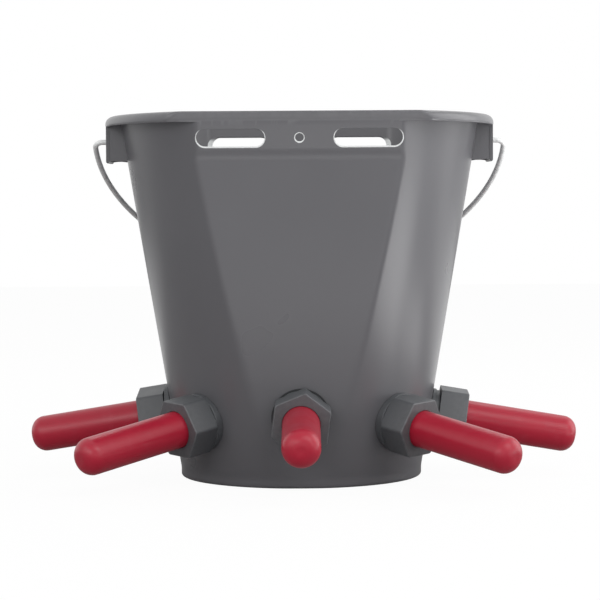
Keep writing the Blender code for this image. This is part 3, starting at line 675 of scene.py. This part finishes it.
def shell_rings(directions):
    """Rings of the bucket's section, from the middle of the underside round to the middle of the floor."""
    flat_share = 1 / np.maximum(np.abs(np.cos(directions)), 1e-3)
    rings = []
    wear_and_highlight = []

    def ring(radius, z, worn_and_highlit=0.0):
        radius = np.broadcast_to(np.asarray(radius, float), directions.shape)
        z = np.broadcast_to(np.asarray(z, float), directions.shape)
        rings.append(np.stack((radius * np.sin(directions), -radius * np.cos(directions), z), 1))
        wear_and_highlight.append(worn_and_highlit)

    edge = BASE_EDGE
    for radius, z in ((0, 0), (PAD_RADIUS - edge, 0), (PAD_RADIUS, edge),
                      (PAD_RADIUS + edge / 2, BASE_RECESS - edge), (PAD_RADIUS + 1.5 * edge, BASE_RECESS),
                      (FOOT_INNER_RADIUS - 1.5 * edge, BASE_RECESS),
                      (FOOT_INNER_RADIUS - edge / 2, BASE_RECESS - edge), (FOOT_INNER_RADIUS, edge),
                      (FOOT_INNER_RADIUS + edge, 0)):
        ring(radius, z)
    # foot rounding lighter towards its middle: rubbed wear and painted highlight
    for turn in quarter_turn(5):
        z = FOOT_ROUNDING - FOOT_ROUNDING * math.cos(turn)
        radius = outside(directions, z) - FOOT_ROUNDING + FOOT_ROUNDING * math.sin(turn)
        ring(radius, z, 0.5 * math.sin(turn * 2))
    heights = np.concatenate((np.arange(4, 16, 2), np.arange(16, 248, 4.5), np.arange(248, 260, 0.7),
                              np.arange(261, LIP_BOTTOM, 3.4)))
    for z in heights:
        ring(outside(directions, z), z)

    skin = outside(directions, LIP_BOTTOM)
    lip = smooth_min(LIP_RADIUS, flat_depth(LIP_BOTTOM) * flat_share, LIP_CORNER_SOFTNESS)
    groove_flat = (flat_depth(HEIGHT - 5) - LIP_SHEET) * flat_share
    groove_out = np.maximum(smooth_min(LIP_RADIUS - LIP_SHEET, groove_flat, 1.0), skin)
    open_share = np.clip((groove_out - skin) / (LIP_RADIUS - LIP_SHEET - wall_radius(LIP_BOTTOM)), 0, 1)
    depth = (HEIGHT - LIP_SHEET - LIP_BOTTOM) * ease(0.02, 0.3, open_share)
    round_off = GROOVE_ROUNDING * ease(0.02, 0.4, open_share)
    lip_share = np.clip((lip - skin) / 8, 0, 1)
    lean = skin + GROOVE_LEAN * depth
    ceiling_start = np.minimum(lean + round_off, groove_out)
    land = np.minimum(groove_out + LIP_LAND * lip_share, lip)
    ring(skin, LIP_BOTTOM)
    ring(np.minimum(lean, groove_out), LIP_BOTTOM + depth - round_off)
    ring(ceiling_start, LIP_BOTTOM + depth)
    ring(np.maximum(groove_out - round_off, ceiling_start), LIP_BOTTOM + depth)
    ring(groove_out, LIP_BOTTOM + depth - round_off)
    ring(groove_out, LIP_BOTTOM + 0.7 * round_off)
    ring(land, LIP_BOTTOM)
    # lighter lip edges, below and on the top rounding: rubbed wear and painted highlight
    ring(np.maximum(lip - 1.2 * lip_share, land), LIP_BOTTOM, 0.4)
    ring(lip - LIP_BREAK * lip_share, LIP_BOTTOM + LIP_BREAK * lip_share, 0.8)
    ring(lip, LIP_BOTTOM + 1.2, 0.4)

    inner_top = inside(directions, HEIGHT)
    for turn in quarter_turn(8):
        z = HEIGHT - LIP_EDGE_RADIUS * (1 - math.sin(turn))
        rounded = LIP_RADIUS - LIP_EDGE_RADIUS * (1 - math.cos(turn))
        into_edge = max(z - HEIGHT + TOP_EDGE, 0)
        fall = TOP_EDGE - math.sqrt(TOP_EDGE ** 2 - into_edge ** 2)
        radius = smooth_min(rounded, (flat_depth(z) - fall) * flat_share, LIP_CORNER_SOFTNESS)
        ring(np.maximum(radius, inner_top + INNER_EDGE), z, 0.6 * math.sin(turn * 2))
    top = np.minimum(LIP_RADIUS - LIP_EDGE_RADIUS - 4, (flat_depth(HEIGHT) - TOP_EDGE - 0.1) * flat_share)
    ring(np.maximum(top, inner_top + INNER_EDGE), HEIGHT)
    for turn in quarter_turn(4):
        ring(inner_top + INNER_EDGE * (1 - math.sin(turn)), HEIGHT - INNER_EDGE * (1 - math.cos(turn)), 0.5)
    for z in np.concatenate((np.arange(282, 256, -3), np.arange(256, 248, -0.8), np.arange(245, 20, -8))):
        ring(inside(directions, z), z)
    low = FLOOR_TOP + FLOOR_FILLET
    for turn in quarter_turn(6):
        ring(inside(directions, low) - FLOOR_FILLET * (1 - math.cos(turn)), low - FLOOR_FILLET * math.sin(turn))
    ring(FLOOR_RING_RADIUS, FLOOR_TOP)
    ring(0, FLOOR_TOP)
    return rings, wear_and_highlight


def slot_points(middle, length, grow):
    end = (length - SLOT_HEIGHT) / 2
    radius = SLOT_HEIGHT / 2 + grow
    return (arc_points((middle + end, 0), radius, -90, 90, 16)
            + arc_points((middle - end, 0), radius, 90, 270, 16))


def round_points(radius, count=32):
    return [(radius * math.cos(a), radius * math.sin(a)) for a in round_angles(count)]


def band_cutter_rings(points_at, face):
    """Rings of one opening through the front (-1) or back (1) band, flared where it meets each face."""
    normal = Vector((0, face * math.cos(BAND_TAPER), -math.sin(BAND_TAPER)))
    rise = Vector((0, face * math.sin(BAND_TAPER), math.cos(BAND_TAPER)))
    middle = Vector((0, face * float(flat_depth(SLOT_Z)), SLOT_Z))
    thick = WALL * math.cos(BAND_TAPER)
    stations = [(2.0, CUT_EDGE)]
    turns = quarter_turn(4)
    stations += [(-CUT_EDGE * math.sin(turn), CUT_EDGE * (1 - math.sin(turn))) for turn in turns]
    stations += [(-thick + CUT_EDGE * math.cos(turn), CUT_EDGE * (1 - math.cos(turn))) for turn in turns]
    stations.append((-thick - 2.0, CUT_EDGE))
    rings = []
    for depth, grow in stations:
        ring = [middle + normal * depth + Vector((1, 0, 0)) * u + rise * v for u, v in points_at(grow)]
        rings.append(np.array([tuple(p) for p in ring]))
    return rings


def closed_mesh(name, rings):
    """Mesh through rings, closed by a middle point at both ends, with its faces outward."""
    ends = [np.repeat(ring.mean(0, keepdims=True), len(ring), 0) for ring in (rings[0], rings[-1])]
    mesh = grid_mesh(name, ends[:1] + rings + ends[1:])
    shell = bmesh.new()
    shell.from_mesh(mesh)
    bmesh.ops.recalc_face_normals(shell, faces=shell.faces)
    shell.to_mesh(mesh)
    shell.free()
    return mesh


def joined_mesh(name, meshes):
    all_of_it = bmesh.new()
    for mesh in meshes:
        all_of_it.from_mesh(mesh)
    result = bpy.data.meshes.new(name)
    all_of_it.to_mesh(result)
    all_of_it.free()
    return result


def cut(target, cutter):
    """Takes the cutter out of the target and makes the result plain."""
    modifier = target.modifiers.new(cutter.name, "BOOLEAN")
    modifier.operation = "DIFFERENCE"
    modifier.solver = "EXACT"
    modifier.object = cutter
    settle(target, cutter)
    smooth(target.data, 40)


def opening_meshes():
    meshes = []
    for face, setback in ((-1, 0.0), (1, BACK_SLOT_SETBACK)):
        length = SLOT_LENGTH - setback
        from_middle = (SLOT_SPACING - setback) / 2
        shapes = [lambda grow, m=m, n=length: slot_points(m, n, grow) for m in (-from_middle, from_middle)]
        shapes.append(lambda grow: round_points(CENTRE_HOLE / 2 + grow))
        for shape in shapes:
            meshes.append(closed_mesh("opening", band_cutter_rings(shape, face)))
    return meshes


def make_bucket(material, units):
    rings, wear_and_highlight = shell_rings(shell_directions())
    bucket = new_object("bucket", grid_mesh("bucket", rings, wear_and_highlight=wear_and_highlight), material)
    meshes = opening_meshes()
    hole = THREAD_RADIUS + 0.6
    for unit in units:
        low = unit["flange_face"] - 1
        section = [(0, low, 0), (hole, low, 0), (hole, 6, 0), (0, 6, 0)]
        meshes.append(turned_mesh("wall hole", section, unit["matrix"], 48))
    cut(bucket, new_object("openings", joined_mesh("openings", meshes)))
    even_shading(bucket)
    finish_piece(bucket, "bucket", "bucket_shell")


def make_base_ribs(material, tree):
    """Ribs under the floor, from the centre pad to the foot ring."""
    half = RIB / 2
    outline = [(-half, BASE_RECESS + 0.5), (-half, 0.7), (-half + 0.3, 0.3), (half - 0.3, 0.3), (half, 0.7),
               (half, BASE_RECESS + 0.5)]
    rings = [np.array([(x, y, z) for y, z in outline]) for x in (PAD_RADIUS - 1, FOOT_INNER_RADIUS + 1)]
    mesh = closed_mesh("rib", rings)
    smooth(mesh, 50)
    ribs = grown("base_ribs", mesh, tree, {"Count": RIB_COUNT, "Material": material})
    finish_piece(ribs, "bucket", "bucket_shell")


def ear_plate(side):
    """Curved plate of an ear with a beaded lower edge."""
    half = math.asin(EAR_WIDTH / 2 / EAR_OUTER)
    inner = EAR_OUTER - EAR_PLATE
    top = LIP_BOTTOM + EAR_OVERLAP
    bead_z = EAR_BOTTOM + EAR_BEAD
    section = [(inner, top), (inner, bead_z + 2.2)]
    section += arc_points((EAR_OUTER - EAR_BEAD, bead_z), EAR_BEAD, 165, 360, 8)
    section += [(EAR_OUTER, bead_z + 4), (EAR_OUTER, top)]
    rings = []
    for angle in np.linspace(-half, half, 17):
        rings.append(np.array([(side * r * math.cos(angle), r * math.sin(angle), z) for r, z in section]))
    return closed_mesh("ear plate", rings)


def ear_web(side, y):
    """Flat web from the wall to an ear's plate, drawn in a little along its lower edge."""
    low = EAR_BOTTOM + EAR_WEB_LIFT
    high = HEIGHT - 2.4
    outer = EAR_OUTER - EAR_PLATE + 0.3
    wall_low = wall_radius(low) - EAR_WEB_BITE
    start = wall_low + EAR_WEB_FOOT
    end = outer - 1.5
    outline = [(wall_radius(high) - EAR_WEB_BITE, high), (wall_low, low + 1.0), (start, low)]
    for share in (k / 6 for k in range(1, 6)):
        outline.append((start + (end - start) * share, low + 0.5 * math.sin(math.pi * share)))
    outline += [(end, low), (outer, low + 0.2), (outer, high)]
    rings = [np.array([(side * x, face, z) for x, z in outline]) for face in (y - EAR_WEB / 2, y + EAR_WEB / 2)]
    return closed_mesh("ear web", rings)


def make_ear(label, side, material):
    """Ear with its plate and two webs, and the round hole in which the bail's hook turns."""
    meshes = [ear_plate(side)] + [ear_web(side, sign * EAR_WEB_SPACING / 2) for sign in (-1, 1)]
    ear = new_object(f"ear_{label}", joined_mesh("ear", meshes), material)
    hole = BAIL_WIRE / 2 + PIVOT_PLAY
    rings = [np.array([(side * x, u, PIVOT_Z + v) for u, v in round_points(hole, 24)])
             for x in (EAR_OUTER - 6, EAR_OUTER + 3)]
    cut(ear, new_object("pivot hole", closed_mesh("pivot hole", rings)))
    edges = ear.modifiers.new("rounded edges", "BEVEL")
    edges.width = EAR_EDGE * MM
    edges.segments = 2
    edges.limit_method = "ANGLE"
    edges.angle_limit = math.radians(50)
    even_shading(ear)
    finish_piece(ear, "bucket", "bucket_shell")


def make_bail(material, tree):
    """Wire bail along its solid's middle line, with finer bends and a bow that is flattened a little."""
    bend = BAIL_BEND_RADIUS
    hook = BAIL_HOOK_BEND
    first = math.asin(bend / (BAIL_RADIUS - bend))
    bend_x = (BAIL_RADIUS - bend) * math.cos(first)
    half = [(BAIL_HOOK_X, -BAIL_HOOK_LENGTH)]
    half += arc_points((BAIL_HOOK_X + hook, -hook), hook, 180, 90, 8)
    half += arc_points((bend_x, bend), bend, -90, math.degrees(first), 12)
    bow = []
    for k in range(1, 120):
        turn = first + (math.pi - 2 * first) * k / 120
        reach = BAIL_RADIUS - BAIL_FLATTENING * math.sin(2 * math.pi * k / 120) ** 2
        bow.append((reach * math.cos(turn), reach * math.sin(turn)))
    path = half + bow + [(-x, s) for x, s in reversed(half)]
    points = []
    for x, s in path:
        points.append((x * MM, s * math.cos(BAIL_REST) * MM, (PIVOT_Z - s * math.sin(BAIL_REST)) * MM))
    line = bpy.data.meshes.new("bail line")
    line.from_pydata(points, [(k, k + 1) for k in range(len(points) - 1)], [])
    bail = grown("bail", line, tree, {"Wire Radius": BAIL_WIRE / 2 * MM, "Facets": 24, "Material": material})
    smooth(bail.data, 50)
    finish_piece(bail, "bail", "bail_wire")


# Teat units

def unit_matrix(azimuth, height, on_panel):
    """Frame of a teat unit in metres: origin on the outer wall, Z along the teat, X level."""
    reach = panel_depth(height) if on_panel else wall_radius(height)
    tilt = PANEL_TAPER + FRONT_UNIT_DROOP if on_panel else WALL_TAPER
    outward = Vector((math.sin(azimuth), -math.cos(azimuth), 0))
    level = Vector((math.cos(azimuth), math.sin(azimuth), 0))
    axis = outward * math.cos(tilt) + Vector((0, 0, -math.sin(tilt)))
    rotation = Matrix((level, axis.cross(level), axis)).transposed()
    return Matrix.Translation((outward * reach + Vector((0, 0, height))) * MM) @ rotation.to_4x4()


def unit_facts():
    units = []
    for k, degrees in enumerate(UNIT_AZIMUTHS):
        on_panel = degrees == FRONT_UNIT
        height = FRONT_UNIT_HEIGHT if on_panel else UNIT_HEIGHT
        if on_panel:
            fall = STEM_FLANGE_RADIUS * math.tan(FRONT_UNIT_DROOP)
        else:
            inner = wall_radius(height) - WALL
            fall = inner - math.sqrt(inner ** 2 - STEM_FLANGE_RADIUS ** 2)
        units.append({
            "number": k + 1,
            "matrix": unit_matrix(math.radians(degrees), height, on_panel),
            "turn": math.radians(NUT_TURNS[k]),
            "nut_base": LOCK_RING_FACE + NUT_GAPS[k],
            "ring_radius": LOCK_RING_RADII[k],
            "ring_lift": LOCK_RING_LIFTS[k],
            "washer_and_shade_radius": OUTER_WASHER_AND_SHADE_RADII[k],
            "nut_base_radius": NUT_BASE_RADII[k],
            "flange_face": -(WALL + fall + INNER_SEAL_MIN),
        })
    return units


def wall_depth(unit, x, y, surface, gap):
    """How far along the unit's axis the wall surface lies under (x, y), with a gap added outwards."""
    depth = np.zeros_like(x)
    rows = np.array(unit["matrix"])
    for _ in range(14):
        world = rows @ np.stack((x * MM, y * MM, depth * MM, np.ones_like(x))) / MM
        direction = np.arctan2(world[0], -world[1])
        miss = np.hypot(world[0], world[1]) - surface(direction, world[2])
        depth = depth - (miss - gap)
    return depth


def fitted_washer(unit, label, material, bore, radius, face, surface, gap, node, bulge):
    """Washer between a flat face across the unit's axis and the curved wall."""
    angles = round_angles(72)
    rings = []
    for share, at_face in ((0, 0), (1, 0), (1, 0.5), (1, 1), (0, 1)):
        reach = bore + (radius - bore) * share + (bulge if at_face == 0.5 else 0)
        x = reach * np.cos(angles)
        y = reach * np.sin(angles)
        on_wall = wall_depth(unit, x, y, surface, gap)
        rings.append(np.stack((x, y, on_wall * (1 - at_face) + face * at_face), 1))
    if face < 0:
        rings.reverse()
    mesh = grid_mesh(label, rings, closed=True)
    mesh.transform(unit["matrix"])
    smooth(mesh, 60)
    unit_piece(unit, label, mesh, material, node)


def rounded_hexagon(unit):
    """Outline of the unit's nut: a soft hexagon, its corners turned off towards the base.

    A ring's radius is half the hexagon's width.
    """
    def outline(angles, radius, height):
        if radius < BORE_RADIUS + 1.2:
            return np.full(len(angles), radius)
        sixth = math.pi / 3
        from_flat = (angles - unit["turn"]) % sixth - sixth / 2
        own = radius / np.cos(from_flat)
        other = radius / np.cos(sixth - np.abs(from_flat))
        turned_off = unit["nut_base_radius"] + (height - unit["nut_base"]) * NUT_BASE_SLOPE
        return np.minimum(smooth_min(own, other, NUT_SOFTNESS), turned_off)
    return outline


def make_nut(unit, material):
    base = unit["nut_base"]
    face = base + NUT_LENGTH
    shoulder = face - NUT_SHOULDER
    half = NUT_ACROSS_FLATS / 2
    hole = TEAT_RADIUS + TEAT_HOLE_PLAY
    rising = [(half, base + lift, 0) for lift in (0.5, 0.8, 1.1, 1.4, 1.8)]
    section = soften([(BORE_RADIUS, base, 0.3), (half, base, 0.35)] + rising + [
        (half, face - NUT_CHAMFER, 0.35), (half - NUT_CHAMFER, face, 0.35), (hole + 0.35, face, 0.2),
        (hole, face - 0.35, 0.2), (hole, shoulder, 0), (BORE_RADIUS, shoulder, 0)])
    mesh = turned_mesh("nut", section, unit["matrix"], 144, rounded_hexagon(unit))
    even_shading(unit_piece(unit, "nut", mesh, material, "collar_nut", "nut"))


def make_lock_ring(unit, material):
    """Round ring behind the nut, its hub up to the nut's base and its skirt down to the wall."""
    radius = unit["ring_radius"]
    face = LOCK_RING_FACE + unit["ring_lift"]
    hub = unit["nut_base"] - FIT_GAP
    section = [(r, z, 0.0) for r, z, _ in soften([
        (BORE_RADIUS, LOCK_RING_BASE, 0.2), (radius, LOCK_RING_BASE, 0.25), (radius, face, 0.45),
        (LOCK_RING_HUB, face, 0.1), (LOCK_RING_HUB, hub, 0.2), (BORE_RADIUS, hub, 0.2)])]
    mesh = turned_mesh("clamp_ring", section, unit["matrix"], 96)
    unit_piece(unit, "clamp_ring", mesh, material, "lock_ring")
    inner = unit["washer_and_shade_radius"] + FIT_GAP
    if inner < radius:
        fitted_washer(unit, "clamp_skirt", material, inner, radius, LOCK_RING_BASE + 0.3, outside, SKIRT_GAP,
                      "lock_ring", 0.0)


def four_fingers(width):
    """Outline that brings four narrow fingers in to the ring's radius and leaves the rest at the bore."""
    def outline(angles, radius, height):
        if radius >= STEM_BORE_RADIUS:
            return np.full(len(angles), radius)
        quarter = math.pi / 2
        away = np.abs((angles + quarter / 2) % quarter - quarter / 2) * radius
        share = ease(width, width * 0.5, away)
        return STEM_BORE_RADIUS + (radius - STEM_BORE_RADIUS) * share
    return outline


def make_stem(unit, material, tree):
    flange = unit["flange_face"]
    inner_end = flange - STEM_FLANGE
    seat_face = inner_end + SEAT_HEIGHT
    seated = math.sqrt(BALL_RADIUS ** 2 - (SEAT_HOLE_RADIUS + SEAT_CHAMFER) ** 2)
    unit["ball_z"] = seat_face + seated + FIT_GAP + BALL_TRAVEL
    finger = unit["ball_z"] + math.sqrt(BALL_RADIUS ** 2 - FINGER_RADIUS ** 2) + FIT_GAP
    finger_end = finger + FINGER_THICKNESS
    root = THREAD_RADIUS - THREAD_DEPTH
    pocket = seat_face + FIT_GAP
    section = soften([
        (STEM_FLANGE_RADIUS, inner_end, 0.6), (STEM_FLANGE_RADIUS, flange, 0.3), (root, flange, 0),
        (root, STEM_END, 0.4), (STEM_BORE_RADIUS, STEM_END, 0.4), (STEM_BORE_RADIUS, finger_end, 0),
        (FINGER_RADIUS, finger_end, 0), (FINGER_RADIUS, finger, 0), (BALL_CHAMBER_RADIUS, finger, 0),
        (BALL_CHAMBER_RADIUS, pocket, 0), (SEAT_OUTER_RADIUS, pocket, 0), (SEAT_OUTER_RADIUS, inner_end, 0.3)])
    mesh = turned_mesh("stem", section, unit["matrix"], 96, four_fingers(FINGER_WIDTH))
    unit_piece(unit, "stem", mesh, material, "valve_stem")
    length = STEM_END - LOCK_RING_FACE + 3
    seed = bpy.data.meshes.new("thread seed")
    seed.from_pydata([(0, 0, 0)], [], [])
    thread = grown(f"thread_{unit['number']}", seed, tree, {
        "Turns": length / THREAD_PITCH, "Radius": (THREAD_RADIUS - THREAD_RIDGE) * MM, "Length": length * MM,
        "Ridge": THREAD_RIDGE * MM, "Material": material})
    shift = Matrix.Translation((0, 0, (STEM_END - length - 1) * MM))
    thread.data.transform(unit["matrix"] @ shift)
    smooth(thread.data, 50)
    finish_piece(thread, "bucket", f"valve_stem_{unit['number']}")


def make_seat(unit, material):
    low = unit["flange_face"] - STEM_FLANGE
    high = low + SEAT_HEIGHT
    outer = SEAT_OUTER_RADIUS - FIT_GAP
    section = soften([
        (SEAT_HOLE_RADIUS, low, 0.5), (outer, low, 0.3), (outer, high, 0.3),
        (SEAT_HOLE_RADIUS + SEAT_CHAMFER, high, 0.2), (SEAT_HOLE_RADIUS, high - SEAT_CHAMFER, 0.2)])
    mesh = turned_mesh("seat", section, unit["matrix"], 72)
    unit_piece(unit, "seat", mesh, material, "seat_ring")


def make_ball(unit, material):
    """Moulded ball with a faint raised parting line."""
    rings = []
    angles = round_angles(48)
    for degrees in (-90, -75, -60, -45, -30, -16, -5, -1.5, 0, 1.5, 5, 16, 30, 45, 60, 75, 90):
        tilt = math.radians(degrees)
        radius = BALL_RADIUS + (0.12 if degrees == 0 else 0)
        reach = radius * math.cos(tilt)
        level = np.full(len(angles), radius * math.sin(tilt))
        rings.append(np.stack((reach * np.cos(angles), reach * np.sin(angles), level), 1))
    mesh = grid_mesh("ball", rings)
    mesh.transform(unit["matrix"] @ Matrix.Translation((0, 0, unit["ball_z"] * MM)))
    smooth(mesh, 60)
    unit_piece(unit, "ball", mesh, material, "valve_ball", "ball")


def make_teat(unit, material):
    """Hollow rubber teat: straight body, flattened round nose with a small dimple, root flange in the nut."""
    root = STEM_END + FIT_GAP
    shoulder = unit["nut_base"] + NUT_LENGTH - NUT_SHOULDER - FIT_GAP
    nose = TEAT_NOSE_RADIUS
    inner = TEAT_RADIUS - TEAT_WALL
    inner_tip = TEAT_REACH - TEAT_TIP_WALL
    section = [(TEAT_FLANGE_RADIUS, root), (TEAT_FLANGE_RADIUS, shoulder), (TEAT_RADIUS + 0.3, shoulder)]
    section += [(TEAT_RADIUS, shoulder + (TEAT_REACH - nose - shoulder) * share)
                for share in np.linspace(0.03, 1, 9)]
    section += arc_points((TEAT_RADIUS - nose, TEAT_REACH - nose), nose, 8, 90, 12)
    section += [(2.2, TEAT_REACH), (1.2, TEAT_REACH - 0.05), (0, TEAT_REACH - 0.08), (0, inner_tip)]
    section += arc_points((inner - TEAT_INNER_NOSE, inner_tip - TEAT_INNER_NOSE), TEAT_INNER_NOSE, 90, 0, 6)
    section += [(inner, root)]
    mesh = turned_mesh("teat_body", [(r, z, 0.0) for r, z in section], unit["matrix"], 80)
    unit_piece(unit, "teat_body", mesh, material, "teat", "teat")


# Stage

def stage_material():
    """Pale floor that shows white to the camera and keeps a soft shadow."""
    material, tree, shader = new_material("pale floor")
    tone = map_range(tree, noise(tree, object_vector(tree), 3.0), 0.0, 1.0, 0.98, 1.02)
    fill(tree, shader, Roughness=0.9, Base_Color=tinted(tree, (0.42, 0.42, 0.42), tone))
    glow = add_node(tree, "ShaderNodeEmission", Strength=FLOOR_GLOW)
    path = tree.nodes.new("ShaderNodeLightPath")
    mix = tree.nodes.new("ShaderNodeMixShader")
    share = math_node(tree, "MULTIPLY", path.outputs["Is Camera Ray"], FLOOR_GLOW_SHARE)
    for socket, value in zip(mix.inputs, (share, shader.outputs[0], glow.outputs[0])):
        give(tree, socket, value)
    fill(tree, tree.nodes["Material Output"], Surface=mix.outputs[0])
    return material


def make_stage():
    half = FLOOR_HALF
    mesh = bpy.data.meshes.new("floor")
    mesh.from_pydata([(-half, -half, 0), (half, -half, 0), (half, half, 0), (-half, half, 0)], [],
                     [(0, 1, 2, 3)])
    floor = new_object("floor", mesh, stage_material())
    world = bpy.data.worlds.new("studio")
    bpy.context.scene.world = world
    world.use_nodes = True
    tree = world.node_tree
    path = tree.nodes.new("ShaderNodeLightPath")
    seen = math_node(tree, "MAXIMUM", path.outputs["Is Camera Ray"], path.outputs["Is Glossy Ray"])
    seen = math_node(tree, "MAXIMUM", seen, path.outputs["Is Transmission Ray"])
    strength = map_range(tree, seen, 0, 1, WORLD_STRENGTH, 1.0, "LINEAR")
    fill(tree, tree.nodes["Background"], Strength=strength, Color=(1, 1, 1, 1))


def area_light(name, place, aim, width, height, power):
    data = bpy.data.lights.new(name, "AREA")
    data.shape = "RECTANGLE"
    data.size = width
    data.size_y = height
    data.energy = power
    lamp = new_object(name, data)
    lamp.location = place
    lamp.rotation_euler = (Vector(aim) - Vector(place)).to_track_quat("-Z", "Y").to_euler()
    lamp.visible_camera = False


def make_lights():
    for row in LAMPS:
        area_light(*row)
    for name, x, y, width, height, power in CARDS:
        area_light(name, (x, y, CARD_HEIGHT), (x, y, 1.0), width, height, power)


def make_camera():
    """Long lens a little below the rim, tipped down slightly, with a hair of roll."""
    data = bpy.data.cameras.new("camera")
    data.sensor_width = 36
    data.lens = CAMERA_LENS
    data.clip_end = 50
    camera = new_object("camera", data)
    level = math.cos(CAMERA_PITCH)
    forward = Vector((-math.sin(CAMERA_YAW) * level, math.cos(CAMERA_YAW) * level, -math.sin(CAMERA_PITCH)))
    right = Vector((math.cos(CAMERA_YAW), math.sin(CAMERA_YAW), 0))
    up = right.cross(forward)
    rolled_right = right * math.cos(CAMERA_ROLL) - up * math.sin(CAMERA_ROLL)
    rolled_up = right * math.sin(CAMERA_ROLL) + up * math.cos(CAMERA_ROLL)
    rotation = Matrix((rolled_right, rolled_up, -forward)).transposed()
    camera.matrix_world = Matrix.Translation(CAMERA_PLACE) @ rotation.to_4x4()
    bpy.context.scene.camera = camera


def main():
    skin = moulded_skin_group()
    wear_and_highlight = edge_wear_and_highlight_group()
    grey = bucket_plastic(skin, wear_and_highlight, cut_edges_and_top_shade_group())
    dark = fitting_plastic(skin, wear_and_highlight)
    red = teat_rubber(skin)
    black = seal_rubber(skin)
    white = ball_plastic(skin)
    zinc = zinc_wire(skin)

    units = unit_facts()
    make_bucket(grey, units)
    make_base_ribs(grey, spoke_tree())
    make_ear("left", -1, grey)
    make_ear("right", 1, grey)
    make_bail(zinc, wire_tree())
    threads = thread_tree()
    for unit in units:
        # black outer washer, which at the centre unit also shows past the nut's flats as painted shade
        fitted_washer(unit, "outer_washer", black, BORE_RADIUS, unit["washer_and_shade_radius"], OUTER_SEAL, outside,
                      FIT_GAP, "outer_seal", OUTER_SEAL_BULGE)
        fitted_washer(unit, "inner_washer", black, BORE_RADIUS, INNER_SEAL_RADIUS,
                      unit["flange_face"] + FIT_GAP, inside, -FIT_GAP, "inner_seal", 0.0)
        make_stem(unit, dark, threads)
        make_seat(unit, dark)
        make_ball(unit, white)
        make_lock_ring(unit, dark)
        make_nut(unit, dark)
        make_teat(unit, red)
    make_stage()
    make_lights()
    make_camera()
    bpy.context.scene.view_settings.view_transform = "Standard"


main()
